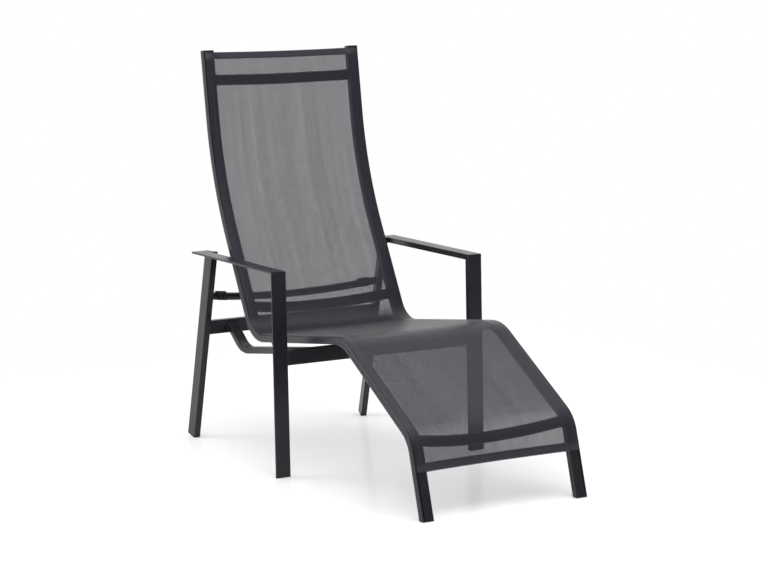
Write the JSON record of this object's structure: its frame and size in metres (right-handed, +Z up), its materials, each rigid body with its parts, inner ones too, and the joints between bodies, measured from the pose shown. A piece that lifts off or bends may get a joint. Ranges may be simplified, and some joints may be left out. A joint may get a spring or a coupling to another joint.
{
  "type": "tilting garden lounge chair",
  "caption": "Garden lounge chair: a four-legged armrest stand carries an S-shaped frame with a mesh sling seat, back and footrest that tilts back on pivots.",
  "frame": {"origin": "on the floor, under the middle of the object's box", "axes": "+Z up, the chair faces -Y, +X is the sitter's left"},
  "size_m": [0.676, 1.2135, 1.1218],
  "materials": {
    "powder_coated_frame": "satin powder coat",
    "sling_mesh": "woven mesh",
    "plug_plastic": "matt",
    "pad_rubber": "matt",
    "bush_nylon": "matt",
    "cord_plastic": "matt",
    "bare_aluminium": "mill",
    "black_steel": "black zinc",
    "fastener_steel": "brushed"
  },
  "bodies": {
    "stand": {"left_armrest": "powder_coated_frame", "left_armrest_end_cap": "plug_plastic", "left_front_leg": "powder_coated_frame", "left_front_foot_plug": "plug_plastic", "left_rear_leg": "powder_coated_frame", "left_rear_foot_plug": "plug_plastic", "left_rear_leg_top_plug": "powder_coated_frame", "left_support_tube": "powder_coated_frame", "left_pivot_bush": "bush_nylon", "left_stop_pad": "pad_rubber", "right_armrest": "powder_coated_frame", "right_armrest_end_cap": "plug_plastic", "right_front_leg": "powder_coated_frame", "right_front_foot_plug": "plug_plastic", "right_rear_leg": "powder_coated_frame", "right_rear_foot_plug": "plug_plastic", "right_rear_leg_top_plug": "powder_coated_frame", "right_support_tube": "powder_coated_frame", "right_pivot_bush": "bush_nylon", "right_stop_pad": "pad_rubber", "front_crossbar": "powder_coated_frame", "lower_rear_crossbar": "powder_coated_frame", "upper_rear_crossbar": "powder_coated_frame"},
    "sling_frame": {"left_side_rail": "powder_coated_frame", "left_pivot_plate": "powder_coated_frame", "right_side_rail": "powder_coated_frame", "right_pivot_plate": "powder_coated_frame", "head_spreader": "powder_coated_frame", "back_spreader": "powder_coated_frame", "footrest_spreader": "powder_coated_frame", "left_rail_head_cap": "plug_plastic", "left_rail_foot_cap": "plug_plastic", "right_rail_head_cap": "plug_plastic", "right_rail_foot_cap": "plug_plastic", "sling": "sling_mesh", "left_edge_cord": "cord_plastic", "right_edge_cord": "cord_plastic", "head_hem_bar": "cord_plastic", "foot_hem_bar": "cord_plastic", "spreader_inserts": "bare_aluminium", "pivot_bolts": "fastener_steel", "pivot_washers": "fastener_steel", "pivot_lock_nuts": "fastener_steel", "spreader_screws": "black_steel"}
  },
  "joints": [
    {"name": "sling_frame_tilt", "type": "hinge", "parent": "stand", "child": "sling_frame", "pos_m": [0, 0.1924, 0.3075], "axis": [-1, 0, 0], "range_deg": [0, 24.77]}
  ]
}
